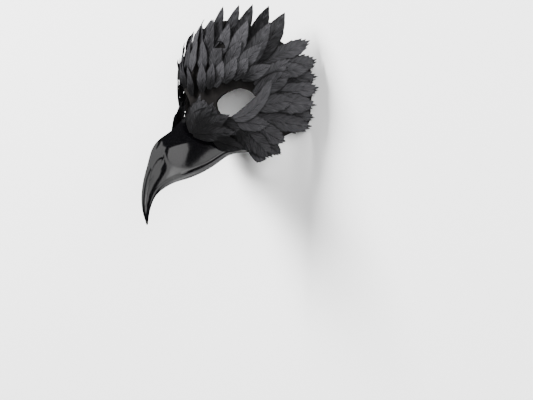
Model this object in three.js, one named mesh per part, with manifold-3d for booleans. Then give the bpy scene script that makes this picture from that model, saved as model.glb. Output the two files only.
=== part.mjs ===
import * as THREE from 'three';
import Module from 'manifold-3d';

// Raven costume mask, in millimetres. It lies on its open back: X is the wearer's left,
// Y runs up the face and Z out of it, and the rear rim of the shell rests on Z = 0.

const wasm = await Module();
wasm.setup();

// Head form the shell is moulded to, an ellipsoid with a taller lower half.
const HEAD_CENTRE = new THREE.Vector3(0, 15, 6);
const HEAD_HALF_WIDTH = 77;
const HEAD_HALF_DEPTH = 97;
const HEAD_UP = 95;
const HEAD_DOWN = 123;

// Moulded shell.
const SHELL_WALL = 2.6;
const SHELL_RINGS = 11;
const SHELL_COLUMNS = 32;
const SHELL_RING_LIMIT = 101;
const CROWN_EDGE = { y: 83, z: 52, slope: 0.83 };
const CHEEK_EDGE = { y: -24, slope: 0.45 };
const EYE = { x: 38.3, y: -1.3, halfWidth: 19.2, halfHeight: 12.8, tilt: 32, power: 2.4, sides: 18 };
const NOSE = [[4, -8], [11, -26], [17, -42], [31, -58], [31, -110]];
const CUTTER_LOW = 20;
const CUTTER_HIGH = 120;

// Hollow bill: the culmen runs down the middle, the cutting edges down both sides.
const CULMEN = [
  [3, 104], [-9, 118], [-24, 136], [-34, 151], [-42, 168], [-52, 178],
  [-68, 184], [-86, 191], [-104, 194], [-120, 192.5], [-135, 186],
];
const CUTTING_EDGE = [
  [42, -57, 82], [36, -59.5, 95], [29, -72.5, 114], [21, -87, 138], [13.5, -92, 163],
  [8.5, -102, 176.5], [5.5, -113, 183], [3.2, -124, 185], [1.2, -135, 185.2],
];
const BILL_STATIONS = 14;
const BILL_ARC = [0, 0.15, 0.31, 0.47, 0.63, 0.78, 0.91, 1];
const BILL_WALL = 2.6;
const HOLLOW_END = 0.84;
const THINNEST = 0.4;
const ROOT_RUN = 26;
const ROOT_FULLNESS = 1.6;
const BODY_FULLNESS = 1;
const ROOT_FLARE = 2.1;
const BODY_FLARE = 1.1;
const FULL_FROM = 0.55;
const LIP_FROM = 0.89;
const LIP_FLARE = 1.3;
const LIP_FADE = 12;
const NOSTRIL = {
  share: 0.565, arc: 0.515, halfRun: 0.088, halfWidth: 0.1, slant: 0,
  depth: 0.8, above: 3, sides: 12, probe: 0.02,
};

// Feathers: leaf shaped, cut from sheet, each glued at its root.
const SHEET = 0.8;
const SHEET_EDGE = 0.6;
const CLEARANCE = 0.38;
const STEP = SHEET + CLEARANCE;
const RING_PER_STEP = 9;
const FUSED_STEP = 0.42;
const ROOT_SHARE = 0.32;
const WIDEST_AT = 0.46;
const CURL = 4.2;
const CURL_START = 8;
const CURL_SPAN = 20;
const TIP_POWER = 1.8;
const LEAF_STATIONS = [0, 0.13, 0.32, 0.52, 0.72, 0.88];
const FUSED_STATIONS = [0, 0.13, 0.35, 0.62, 0.86];
const POLE = new THREE.Vector3(0, -0.38, 1).normalize();

// Rows of feathers. Ring and clock are degrees about the bridge of the nose, reach and width
// millimetres, turn degrees off the outward direction, rank the layer counted from the head.
const ROWS = [
  { name: 'crown_left', side: 1, rank: 5, parity: 1, turn: [-23, -20, -22, -26, -23],
    ring: [47, 47, 49, 51, 57], clock: [11, 21, 31, 43, 50],
    reach: [58.5, 61.5, 62, 66.5, 59], width: [17, 18, 19, 21, 22] },
  { name: 'crown_right', side: -1, rank: 5, turn: [-4, -4, -4, -4],
    ring: [48, 50, 54, 60], clock: [10, 22, 35, 47], reach: [40, 44, 49, 54], width: [17, 18, 19, 20] },
  { name: 'upper_left', side: 1, rank: 3, turn: [-18, -18, -15, -20, -21],
    ring: [40, 40, 42, 44, 45], clock: [-4, 8, 20, 34, 48],
    reach: [46, 48, 42, 50, 60], width: [15, 17, 17, 19, 22] },
  { name: 'upper_right', side: -1, rank: 3, parity: 1, turn: [-6, -6, -8, -14],
    ring: [39, 42, 44, 48], clock: [16, 28, 39, 49], reach: [42, 42, 44, 52], width: [17, 17, 18, 20] },
  { name: 'forehead_left', side: 1, rank: 1, turn: [-22, -22, -10, -4],
    ring: [31, 33, 37, 42], clock: [8, 24, 34, 44], reach: [37, 36, 38, 40], width: [16, 18, 17, 18] },
  { name: 'forehead_right', side: -1, rank: 1, parity: 1, turn: [-12, -10, -8, -6],
    ring: [32, 34, 38, 43], clock: [13, 25, 37, 47], reach: [35, 36, 38, 40], width: [16, 17, 17, 18] },
  { name: 'temple', side: 0, rank: 5, turn: [9.7, 12, 21, 18, 25],
    ring: [60, 60, 58, 54, 49], clock: [52.4, 64, 70, 79, 95],
    reach: [60, 54, 52, 54, 54], width: [20, 22, 20, 20, 21] },
  { name: 'side', side: 0, rank: 3, turn: [34, 28.3, 24.2],
    ring: [56, 44.1, 38.3], clock: [57, 80.4, 97.1], reach: [51, 61, 65], width: [20, 24, 22] },
  { name: 'eye_corner', side: 0, rank: 1, turn: [-6.9, 14],
    ring: [45.4, 40], clock: [65.7, 86], reach: [48, 46], width: [20, 20] },
  { name: 'under_eye_upper', side: 0, rank: -1, turn: [3.7], bend: -35, curl: 0.3,
    ring: [23.7], clock: [93.7], reach: [51.3], width: [17] },
  { name: 'under_eye_lower', side: 0, rank: 0, turn: [20.4], curl: 0.3,
    ring: [22.1], clock: [92.1], reach: [43.1], width: [20] },
  { name: 'cheek_outer', side: 0, rank: 2, turn: [38, 38], fused: true,
    ring: [38, 43], clock: [106, 120], reach: [40, 29], width: [22, 13] },
  { name: 'cheek_inner', side: 0, rank: 0.6, turn: [48, 12], fused: true,
    ring: [32.2, 36.5], clock: [111.5, 133.5], reach: [41.5, 22], width: [22, 11] },
  { name: 'brow_left', side: 1, rank: -1, turn: [-13.2, -16.9, -16.1, -14.3, -14.4, 13.1],
    fused: true, ring: [18.5, 22.2, 25.3, 31.2, 37, 40.9], clock: [13.5, 27.3, 34.9, 42.2, 48.3, 53.1],
    reach: [31.4, 27.9, 28.9, 30, 27, 34], width: [15, 14, 15, 16, 16, 17] },
  { name: 'brow_right', side: -1, rank: -1, turn: [-3.9, -15, -18, -16, 18], fused: true,
    ring: [16.6, 24, 30, 36, 42], clock: [18.1, 32, 41, 47, 50], reach: [31.6, 29, 30, 26, 32],
    width: [15, 15, 15, 16, 17] },
];

// Small feathers round the root of the bill, each from its root to its tip with a bowed middle;
// the sheet faces away from the point inside.
const NOSE_ROOT = [16, -36, 130.5];
const NOSE_INSIDE = [-22, -30, 90];
const CHEEK_INSIDE = [10, -20, 40];
const NOSE_FEATHERS = [
  { root: NOSE_ROOT, tip: [9.3, 9, 111.7], inside: NOSE_INSIDE, bow: -1.5, width: 10 },
  { root: NOSE_ROOT, tip: [16.3, 2.3, 112], inside: NOSE_INSIDE, bow: 2, width: 24 },
  { root: NOSE_ROOT, tip: [25.7, -0.5, 107.3], inside: NOSE_INSIDE, bow: 0, width: 13 },
  { root: NOSE_ROOT, tip: [41.3, -14.4, 97.5], inside: NOSE_INSIDE, bow: 4, width: 20 },
  { root: NOSE_ROOT, tip: [47.2, -33.9, 93.6], inside: NOSE_INSIDE, bow: 4, width: 19 },
  { root: [32, -20, 102], tip: [49.4, -37.3, 86.3], inside: CHEEK_INSIDE, bow: 3, width: 19 },
  { root: [31.2, -42.4, 112.2], tip: [49.4, -51.8, 82.4], inside: CHEEK_INSIDE, bow: 4, width: 20 },
  { root: [47.7, -30, 90.1], tip: [52.1, -56.4, 76.1], inside: CHEEK_INSIDE, bow: 3, width: 14 },
];

const LEATHER = new THREE.MeshStandardMaterial({ color: 0x33343a, roughness: 0.62, metalness: 0 });
const SHELL_PLASTIC = new THREE.MeshStandardMaterial({ color: 0x1d1a18, roughness: 0.75, metalness: 0 });
const BILL_PLASTIC = new THREE.MeshStandardMaterial({ color: 0x0b0b0d, roughness: 0.16, metalness: 0 });

const mix = (a, b, t) => a + (b - a) * t;
const radians = THREE.MathUtils.degToRad;

function headRadius(direction) {
  const up = direction.y > 0 ? HEAD_UP : HEAD_DOWN;
  return 1 / Math.hypot(direction.x / HEAD_HALF_WIDTH, direction.y / up, direction.z / HEAD_HALF_DEPTH);
}

function headPoint(direction, height) {
  return direction.clone().multiplyScalar(headRadius(direction) + height).add(HEAD_CENTRE);
}

const POLE_UP = new THREE.Vector3(0, 1, 0).projectOnPlane(POLE).normalize();
const POLE_LEFT = new THREE.Vector3().crossVectors(POLE_UP, POLE);

function polar(ring, clock) {
  const across = POLE_UP.clone().multiplyScalar(Math.cos(radians(clock)));
  across.addScaledVector(POLE_LEFT, Math.sin(radians(clock)));
  const point = POLE.clone().multiplyScalar(Math.cos(radians(ring)));
  return point.addScaledVector(across, Math.sin(radians(ring)));
}

function solidFrom(points, triangles) {
  const mesh = new wasm.Mesh({
    numProp: 3,
    vertProperties: Float32Array.from(points.flatMap((p) => [p.x, p.y, p.z])),
    triVerts: Uint32Array.from(triangles.flat()),
  });
  return new wasm.Manifold(mesh);
}

function geometryFrom(solid) {
  const mesh = solid.getMesh();
  const positions = [];
  for (let i = 0; i < mesh.numVert; i += 1) {
    positions.push(...mesh.vertProperties.slice(i * mesh.numProp, i * mesh.numProp + 3));
  }
  const geometry = new THREE.BufferGeometry();
  geometry.setAttribute('position', new THREE.Float32BufferAttribute(positions, 3));
  geometry.setIndex([...mesh.triVerts]);
  return geometry;
}

function part(name, solid, material) {
  const mesh = new THREE.Mesh(geometryFrom(solid), material.clone());
  mesh.name = name;
  return mesh;
}

function prism(outline, low, high) {
  const count = outline.length;
  const points = [low, high].flatMap((z) => outline.map(([x, y]) => new THREE.Vector3(x, y, z)));
  const flat = THREE.ShapeUtils.triangulateShape(outline.map(([x, y]) => new THREE.Vector2(x, y)), []);
  const triangles = [];
  for (const [a, b, c] of flat) {
    triangles.push([c, b, a], [a + count, b + count, c + count]);
  }
  for (let i = 0; i < count; i += 1) {
    const j = (i + 1) % count;
    triangles.push([i, j, j + count], [i, j + count, i + count]);
  }
  return solidFrom(points, triangles);
}

function headDome(shrink) {
  const points = [headPoint(new THREE.Vector3(0, 0, 1), -shrink)];
  const triangles = [];
  for (let ring = 1; ring <= SHELL_RINGS; ring += 1) {
    const angle = radians((SHELL_RING_LIMIT * ring) / SHELL_RINGS);
    for (let column = 0; column < SHELL_COLUMNS; column += 1) {
      const turn = (2 * Math.PI * column) / SHELL_COLUMNS;
      const direction = new THREE.Vector3(
        Math.sin(angle) * Math.cos(turn), Math.sin(angle) * Math.sin(turn), Math.cos(angle));
      points.push(headPoint(direction, -shrink));
    }
  }
  const at = (ring, column) => 1 + (ring - 1) * SHELL_COLUMNS + (column % SHELL_COLUMNS);
  const last = points.length;
  points.push(new THREE.Vector3(HEAD_CENTRE.x, HEAD_CENTRE.y, points[last - 1].z));
  for (let column = 0; column < SHELL_COLUMNS; column += 1) {
    triangles.push([0, at(1, column), at(1, column + 1)]);
    for (let ring = 1; ring < SHELL_RINGS; ring += 1) {
      triangles.push([at(ring, column), at(ring + 1, column), at(ring + 1, column + 1)]);
      triangles.push([at(ring, column), at(ring + 1, column + 1), at(ring, column + 1)]);
    }
    triangles.push([last, at(SHELL_RINGS, column + 1), at(SHELL_RINGS, column)]);
  }
  return solidFrom(points, triangles);
}

function eyeOutline(side) {
  const outline = [];
  const tilt = radians(EYE.tilt);
  const rounded = (value) => Math.sign(value) * Math.abs(value) ** (2 / EYE.power);
  for (let i = 0; i < EYE.sides; i += 1) {
    const angle = (2 * Math.PI * i) / EYE.sides;
    const x = rounded(Math.cos(angle)) * EYE.halfWidth;
    const y = rounded(Math.sin(angle)) * EYE.halfHeight;
    const across = EYE.x + x * Math.cos(tilt) - y * Math.sin(tilt);
    outline.push([side * across, EYE.y + x * Math.sin(tilt) + y * Math.cos(tilt)]);
  }
  return side > 0 ? outline : outline.reverse();
}

function mouldedShell() {
  let shell = headDome(0).subtract(headDome(SHELL_WALL)).trimByPlane([0, 0, 1], 0);
  const crown = new THREE.Vector3(0, -1, CROWN_EDGE.slope).normalize();
  const cheek = new THREE.Vector3(0, 1, CHEEK_EDGE.slope).normalize();
  shell = shell.trimByPlane(crown.toArray(), crown.y * CROWN_EDGE.y + crown.z * CROWN_EDGE.z);
  shell = shell.trimByPlane(cheek.toArray(), cheek.y * CHEEK_EDGE.y);
  for (const side of [1, -1]) {
    shell = shell.subtract(prism(eyeOutline(side), CUTTER_LOW, CUTTER_HIGH));
  }
  const nose = [...NOSE.map(([x, y]) => [-x, y]), ...NOSE.slice().reverse()];
  return shell.subtract(prism(nose, CUTTER_LOW, CUTTER_HIGH));
}

// Point on a smooth curve through the given points, share 0 to 1 of the way along.
function along(points, share) {
  const curve = new THREE.CatmullRomCurve3(points, false, 'centripetal');
  return curve.getPoint(share);
}

const CULMEN_POINTS = CULMEN.map(([y, z]) => new THREE.Vector3(0, y, z));
const EDGE_POINTS = CUTTING_EDGE.map(([x, y, z]) => new THREE.Vector3(x, y, z));

// Half arch of the bill from the culmen down to the cutting edge, sunk evenly by the inset.
function billArch(share, inset, steps = BILL_ARC) {
  const top = along(CULMEN_POINTS, share);
  const edge = along(EDGE_POINTS, share);
  const foot = new THREE.Vector3(0, edge.y, edge.z);
  const fall = foot.clone().sub(top);
  const depth = fall.length();
  fall.normalize();
  const full = THREE.MathUtils.smoothstep(share, 0, FULL_FROM);
  const fullness = mix(ROOT_FULLNESS, BODY_FULLNESS, full);
  const flare = mix(ROOT_FLARE, BODY_FLARE, full);
  return steps.map((v) => {
    const wide = Math.sin((v * Math.PI) / 2) ** flare;
    const low = 1 - Math.cos((v * Math.PI) / 2) ** fullness;
    const lip = inset === 0 && v > LIP_FROM ? LIP_FLARE * Math.min(1, edge.x / LIP_FADE) : 0;
    const halfWidth = Math.max(edge.x - inset, THINNEST);
    return top.clone()
      .addScaledVector(fall, mix(inset, depth + inset, low))
      .setX(wide * halfWidth + lip);
  });
}

function billBody(inset, end) {
  const rings = [];
  for (let i = 0; i <= BILL_STATIONS; i += 1) {
    const half = billArch((end * i) / BILL_STATIONS, inset);
    const other = half.slice(1).reverse().map((p) => new THREE.Vector3(-p.x, p.y, p.z));
    rings.push([...other, ...half]);
  }
  rings.unshift(rings[0].map((p) => new THREE.Vector3(p.x, p.y, p.z - ROOT_RUN - inset)));
  const count = rings[0].length;
  const points = rings.flat();
  const triangles = [];
  for (let i = 0; i < rings.length - 1; i += 1) {
    for (let j = 0; j < count; j += 1) {
      const a = i * count + j;
      const b = i * count + ((j + 1) % count);
      triangles.push([a, a + count, b + count], [a, b + count, b]);
    }
  }
  const cap = (first, flip) => {
    for (let j = 0; j < count / 2 - 1; j += 1) {
      const low = first + j;
      const high = first + count - 1 - j;
      const pair = [[low, high, high - 1], [low, high - 1, low + 1]];
      for (const [a, b, c] of pair) {
        if (a !== b && b !== c && a !== c) {
          triangles.push(flip ? [a, c, b] : [a, b, c]);
        }
      }
    }
  };
  cap(0, true);
  cap((rings.length - 1) * count, false);
  return solidFrom(points, triangles);
}

// Slim leaf-shaped pocket let into the flank of the bill.
function nostril(side) {
  const outline = [];
  for (let i = 0; i < NOSTRIL.sides; i += 1) {
    const angle = (2 * Math.PI * i) / NOSTRIL.sides;
    const run = Math.cos(angle);
    const share = NOSTRIL.share + run * NOSTRIL.halfRun;
    const v = NOSTRIL.arc + run * NOSTRIL.slant + Math.sin(angle) * NOSTRIL.halfWidth;
    const [here, lower] = billArch(share, 0, [v, v + NOSTRIL.probe]);
    const [further] = billArch(share + NOSTRIL.probe, 0, [v]);
    const normal = new THREE.Vector3().crossVectors(lower.sub(here), further.sub(here)).normalize();
    outline.push({ here, normal });
  }
  const points = [-NOSTRIL.depth, NOSTRIL.above].flatMap((rise) =>
    outline.map(({ here, normal }) => here.clone().addScaledVector(normal, -rise)));
  const count = outline.length;
  const triangles = [];
  for (let i = 0; i < count; i += 1) {
    const j = (i + 1) % count;
    triangles.push([i, j, j + count], [i, j + count, i + count]);
  }
  for (let i = 1; i < count - 1; i += 1) {
    triangles.push([0, i + 1, i], [count, count + i, count + i + 1]);
  }
  const mirrored = points.map((p) => new THREE.Vector3(side * p.x, p.y, p.z));
  return solidFrom(mirrored, side > 0 ? triangles : triangles.map(([a, b, c]) => [a, c, b]));
}

function bill() {
  let solid = billBody(0, 1).subtract(billBody(BILL_WALL, HOLLOW_END)).subtract(headDome(-CLEARANCE));
  for (const side of [1, -1]) {
    solid = solid.subtract(nostril(side));
  }
  return solid;
}

// Leaf: half width as a share of the widest, from root (0) to tip (1).
function leafShare(u) {
  if (u < WIDEST_AT) {
    return mix(ROOT_SHARE, 1, Math.sin((u / WIDEST_AT) * (Math.PI / 2)));
  }
  return 1 - ((u - WIDEST_AT) / (1 - WIDEST_AT)) ** TIP_POWER;
}

// Closed thin leaf; place(u, across, rise) says where each point of the sheet lies. Every
// station has three points on the upper face and three on the lower one, joined by bands.
function leaf(width, stations, place) {
  const points = [];
  const triangles = [];
  const loop = [0, 1, 2, 5, 4, 3];
  for (const u of stations) {
    const half = (width / 2) * leafShare(u);
    for (const [across, rise] of [[-half, SHEET_EDGE], [0, SHEET], [half, SHEET_EDGE]]) {
      points.push(place(u, across, rise));
    }
    for (const across of [-half, 0, half]) {
      points.push(place(u, across, 0));
    }
  }
  const last = stations.length - 1;
  for (let i = 0; i < last; i += 1) {
    const a = i * loop.length;
    const b = a + loop.length;
    for (let k = 0; k < loop.length; k += 1) {
      const m = loop[k];
      const n = loop[(k + 1) % loop.length];
      triangles.push([a + m, b + n, b + m], [a + m, a + n, b + n]);
    }
  }
  const tip = points.length;
  points.push(place(1, 0, SHEET_EDGE), place(1, 0, 0));
  const e = last * loop.length;
  triangles.push([e, e + 1, tip], [e + 1, e + 2, tip], [e + 3, tip + 1, e + 4], [e + 4, tip + 1, e + 5]);
  triangles.push([e + 2, tip + 1, tip], [e + 2, e + 5, tip + 1], [e, tip + 1, e + 3], [e, tip, tip + 1]);
  triangles.push([0, 4, 1], [0, 3, 4], [1, 5, 2], [1, 4, 5]);
  return solidFrom(points, triangles);
}

// Ring the roots of a row lie on at the given clock angle.
function rowRing(row, clock) {
  const last = row.clock.length - 1;
  if (clock <= row.clock[0]) {
    return row.ring[0];
  }
  for (let i = 0; i < last; i += 1) {
    if (clock < row.clock[i + 1]) {
      return mix(row.ring[i], row.ring[i + 1], (clock - row.clock[i]) / (row.clock[i + 1] - row.clock[i]));
    }
  }
  return row.ring[last];
}

// One feather of a row, laid along the head by arc length and lifted clear of the ones under it.
function headFeather(row, i, side) {
  const rank = row.rank - (row.fused ? FUSED_STEP / STEP : 1) * ((i + (row.parity ?? 0)) % 2);
  const start = polar(row.ring[i], row.clock[i]);
  const turn = radians(row.turn[i]);
  const outward = start.clone().multiplyScalar(start.dot(POLE)).sub(POLE).normalize();
  const sideways = new THREE.Vector3().crossVectors(start, outward).normalize();
  const forward = outward.multiplyScalar(Math.cos(turn)).addScaledVector(sideways, -Math.sin(turn));
  const lateral = new THREE.Vector3().crossVectors(forward, start).normalize();
  const radius = headRadius(start);
  const place = (u, across, rise) => {
    const run = (u * row.reach[i]) / radius;
    const shift = (across + (row.bend ?? 0) * u * u) / radius;
    const direction = start.clone().multiplyScalar(Math.cos(run)).addScaledVector(forward, Math.sin(run));
    direction.multiplyScalar(Math.cos(shift)).addScaledVector(lateral, Math.sin(shift));
    const ring = THREE.MathUtils.radToDeg(direction.angleTo(POLE));
    const clock = THREE.MathUtils.radToDeg(Math.atan2(direction.dot(POLE_LEFT), direction.dot(POLE_UP)));
    const past = Math.max(0, (ring - rowRing(row, clock) - CURL_START) / CURL_SPAN);
    const stacked = STEP * Math.max(0, ring / RING_PER_STEP - rank);
    const lift = CLEARANCE + stacked + CURL * (row.curl ?? 1) * past * past;
    const point = headPoint(direction, lift + rise);
    point.x *= side;
    return point;
  };
  return leaf(side * row.width[i], row.fused ? FUSED_STATIONS : LEAF_STATIONS, place);
}

function noseFeather(feather, i, side) {
  const root = new THREE.Vector3(...feather.root);
  const tip = new THREE.Vector3(...feather.tip);
  const outward = root.clone().sub(new THREE.Vector3(...feather.inside)).normalize();
  const middle = root.clone().lerp(tip, 0.5).addScaledVector(outward, feather.bow);
  const curve = new THREE.QuadraticBezierCurve3(root, middle, tip);
  const lateral = tip.clone().sub(root).cross(outward).normalize();
  const normal = lateral.clone().cross(tip.clone().sub(root)).normalize();
  const place = (u, across, rise) => {
    const point = curve.getPoint(u).addScaledVector(lateral, across);
    point.addScaledVector(normal, rise + FUSED_STEP * (i % 2));
    point.x *= side;
    return point;
  };
  return leaf(side * feather.width, FUSED_STATIONS, place);
}

const mask = new THREE.Group();
mask.name = 'raven_mask';
mask.add(part('mask_shell', mouldedShell(), SHELL_PLASTIC));
mask.add(part('bill', bill(), BILL_PLASTIC));
for (const row of ROWS) {
  const sides = row.side === 0 ? [1, -1] : [row.side];
  for (const side of sides) {
    const tag = row.side === 0 ? (side > 0 ? '_left' : '_right') : '';
    const solids = row.ring.map((ring, i) => headFeather(row, i, side));
    if (row.fused) {
      mask.add(part(`feathers_${row.name}${tag}`, wasm.Manifold.union(solids), LEATHER));
    } else {
      solids.forEach((solid, i) => {
        mask.add(part(`feather_${row.name}${tag}_${i + 1}`, solid, LEATHER));
      });
    }
  }
}
for (const side of [1, -1]) {
  const solids = NOSE_FEATHERS.map((feather, i) => noseFeather(feather, i, side));
  mask.add(part(`feathers_nose_${side > 0 ? 'left' : 'right'}`, wasm.Manifold.union(solids), LEATHER));
}
const bounds = new THREE.Box3().setFromObject(mask);
mask.position.set(0, -(bounds.min.y + bounds.max.y) / 2, -bounds.min.z);

export default mask;
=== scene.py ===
import math

import bmesh
import bpy
import numpy as np
from mathutils import Matrix, Vector


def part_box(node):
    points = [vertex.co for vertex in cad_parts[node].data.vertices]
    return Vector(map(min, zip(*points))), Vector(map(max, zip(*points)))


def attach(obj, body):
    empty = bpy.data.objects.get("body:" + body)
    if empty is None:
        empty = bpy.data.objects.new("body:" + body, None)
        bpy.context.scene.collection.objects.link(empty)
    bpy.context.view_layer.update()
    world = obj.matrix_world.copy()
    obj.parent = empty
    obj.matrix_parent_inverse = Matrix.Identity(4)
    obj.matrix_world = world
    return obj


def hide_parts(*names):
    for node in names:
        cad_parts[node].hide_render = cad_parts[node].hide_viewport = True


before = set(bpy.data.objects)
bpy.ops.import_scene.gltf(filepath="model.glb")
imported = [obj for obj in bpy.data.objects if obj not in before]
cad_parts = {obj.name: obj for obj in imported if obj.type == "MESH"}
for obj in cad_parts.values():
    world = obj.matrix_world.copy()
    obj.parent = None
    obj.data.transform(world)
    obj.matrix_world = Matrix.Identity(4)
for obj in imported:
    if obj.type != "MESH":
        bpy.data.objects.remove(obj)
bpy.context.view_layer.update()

# The view. The mask is seen from its left, 43 degrees round from straight on and three degrees
# above it, with the top of the face up the frame. FACE_RISE is where the face's own middle lies
# on the mask, worked out from the tip of the bill, which hangs 135 mm below it.
MM = 0.001
TIP_DROP = 135.0
FACE_RISE = TIP_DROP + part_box("bill")[0].y / MM
VIEW_ROUND = math.radians(43)
VIEW_ABOVE = math.radians(3)
VIEW_DISTANCE = 2200.0
PIXELS_PER_MM = 0.86
FRAME_WIDTH, FRAME_HEIGHT = 533, 400
FACE_PIXEL = (259.0, 101.5)
FACE_DEPTH = 6.0
SENSOR = 36.0


def face(x, y, z):
    return Vector((x, y + FACE_RISE, z)) * MM


back = Vector((
    math.sin(VIEW_ROUND) * math.cos(VIEW_ABOVE),
    math.sin(VIEW_ABOVE),
    math.cos(VIEW_ROUND) * math.cos(VIEW_ABOVE),
))
right = Vector((math.cos(VIEW_ROUND), 0, -math.sin(VIEW_ROUND)))
up = back.cross(right)
off_right = (FACE_PIXEL[0] - FRAME_WIDTH / 2) / PIXELS_PER_MM
off_up = (FRAME_HEIGHT / 2 - FACE_PIXEL[1]) / PIXELS_PER_MM
camera_data = bpy.data.cameras.new("camera")
camera_data.sensor_width = SENSOR
camera_data.lens = SENSOR * VIEW_DISTANCE * PIXELS_PER_MM / FRAME_WIDTH
camera = bpy.data.objects.new("camera", camera_data)
bpy.context.scene.collection.objects.link(camera)
camera.location = face(0, 0, FACE_DEPTH) + (
    back * VIEW_DISTANCE - right * off_right - up * off_up) * MM
camera.rotation_mode = "QUATERNION"
camera.rotation_quaternion = Matrix((right, up, back)).transposed().to_quaternion()
bpy.context.scene.camera = camera

# The floor: one wide sheet of pale paper, matt, with a faint mottle.
FLOOR_SIZE = 12.0
bpy.ops.object.select_all(action="DESELECT")
bpy.ops.mesh.primitive_plane_add(size=FLOOR_SIZE, location=(0, 0, 0))
floor = bpy.context.object
floor.name = "floor"
paper = bpy.data.materials.new("pale_paper")
paper.use_nodes = True
nodes, links = paper.node_tree.nodes, paper.node_tree.links
shader = nodes["Principled BSDF"]
shader.inputs["Roughness"].default_value = 0.9
shader.inputs["Specular IOR Level"].default_value = 0.2
mottle = nodes.new("ShaderNodeTexNoise")
mottle.inputs["Scale"].default_value = 3.0
tint = nodes.new("ShaderNodeValToRGB")
tint.color_ramp.elements[0].color = (0.86, 0.86, 0.86, 1)
tint.color_ramp.elements[1].color = (0.9, 0.9, 0.9, 1)
links.new(mottle.outputs["Fac"], tint.inputs["Fac"])
links.new(tint.outputs["Color"], shader.inputs["Base Color"])
floor.data.materials.append(paper)

# The light: a dim room, three soft boxes that light the mask, and four close to the bill that are
# only mirrored in its polish and draw its panels. Each lies a distance away from a point of the
# mask, in degrees round from the camera's line and above it.
floor.visible_glossy = False
room = bpy.data.worlds.new("room")
room.use_nodes = True
room.node_tree.nodes["Background"].inputs["Color"].default_value = (1, 1, 1, 1)
room.node_tree.nodes["Background"].inputs["Strength"].default_value = 0.05
bpy.context.scene.world = room
brow, flank = face(0, 0, 90), face(20, -45, 140)
SOFT_BOXES = [
    {"name": "key_box", "aim": brow, "away": 3.0, "at": (-76, 30), "size": (1.4, 1.4),
     "roll": 0, "glow": 260, "mirrored": False},
    {"name": "fill_box", "aim": brow, "away": 2.4, "at": (8, 4), "size": (0.7, 0.7),
     "roll": 0, "glow": 160, "mirrored": False},
    {"name": "side_box", "aim": brow, "away": 3.0, "at": (48, 42), "size": (1.3, 1.3),
     "roll": 0, "glow": 130, "mirrored": False},
    {"name": "culmen_box", "aim": flank, "away": 0.6, "at": (-20.0, 17.3), "size": (1.973, 1.438),
     "roll": 14.5, "glow": 8, "mirrored": True},
    {"name": "panel_box", "aim": flank, "away": 0.6, "at": (73.0, 5.1), "size": (0.374, 0.708),
     "roll": -10.3, "glow": 9, "mirrored": True},
    {"name": "lip_box", "aim": flank, "away": 0.6, "at": (47.8, 5.0), "size": (0.076, 0.47),
     "roll": 14.0, "glow": 8, "mirrored": True},
    {"name": "edge_box", "aim": flank, "away": 0.6, "at": (79.5, -27.8), "size": (0.515, 0.095),
     "roll": -49.4, "glow": 3, "mirrored": True},
]
for box in SOFT_BOXES:
    turn, rise, roll = (math.radians(angle) for angle in (*box["at"], box["roll"]))
    level = back * math.cos(turn) + right * math.sin(turn)
    toward = level * math.cos(rise) + up * math.sin(rise)
    sideways = up.cross(toward).normalized()
    upward = toward.cross(sideways)
    wide_way = sideways * math.cos(roll) + upward * math.sin(roll)
    light = bpy.data.lights.new(box["name"], "AREA")
    light.shape = "RECTANGLE"
    light.size, light.size_y = box["size"]
    light.energy = box["glow"] * light.size * light.size_y
    lamp = bpy.data.objects.new(box["name"], light)
    bpy.context.scene.collection.objects.link(lamp)
    lamp.location = box["aim"] + toward * box["away"]
    lamp.rotation_mode = "QUATERNION"
    axes = (wide_way, toward.cross(wide_way), toward)
    lamp.rotation_quaternion = Matrix(axes).transposed().to_quaternion()
    lamp.visible_camera = False
    lamp.visible_diffuse = not box["mirrored"]
    lamp.visible_glossy = box["mirrored"]

# The shell: a half mask moulded from near-black plastic over a head form, with two eye holes and
# a nose opening, cut off level at the rear so that it lies on a table.
HEAD_CENTRE = np.array([0.0, 15.0, 6.0])
HEAD_HALF_WIDTH, HEAD_HALF_DEPTH = 77.0, 97.0
HEAD_UP, HEAD_DOWN = 95.0, 123.0
HEAD_SEGMENTS, HEAD_RINGS = 128, 84
SHELL_WALL = 2.6
CROWN_EDGE = {"y": 83.0, "z": 52.0, "slope": 0.83}
CHEEK_EDGE = {"y": -24.0, "slope": 0.45}
EYE = {
    "x": 38.3, "y": -1.3, "half_width": 19.2, "half_height": 12.8, "tilt": 32.0, "power": 2.4,
    "sides": 72,
}
NOSE_OPENING = [(4, -8), (11, -26), (17, -42), (31, -58), (31, -110)]
CUTTER_REACH = 0.3
CUTTER_START = 20
SHELL_CREASE = math.radians(35)


def select_where(bm, test):
    for vertex in bm.verts:
        vertex.select_set(bool(test(vertex.co)))
    bm.select_flush_mode()


def pick(piece):
    bpy.ops.object.select_all(action="DESELECT")
    piece.select_set(True)
    bpy.context.view_layer.objects.active = piece


def finish_edit(piece):
    bpy.ops.object.mode_set(mode="OBJECT")
    pick(piece)


def cut_away(piece, cutter):
    trim = piece.modifiers.new("cut", "BOOLEAN")
    trim.operation = "DIFFERENCE"
    trim.solver = "EXACT"
    trim.object = cutter
    pick(piece)
    bpy.ops.object.modifier_apply(modifier="cut")
    bpy.data.objects.remove(cutter, do_unlink=True)


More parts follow.
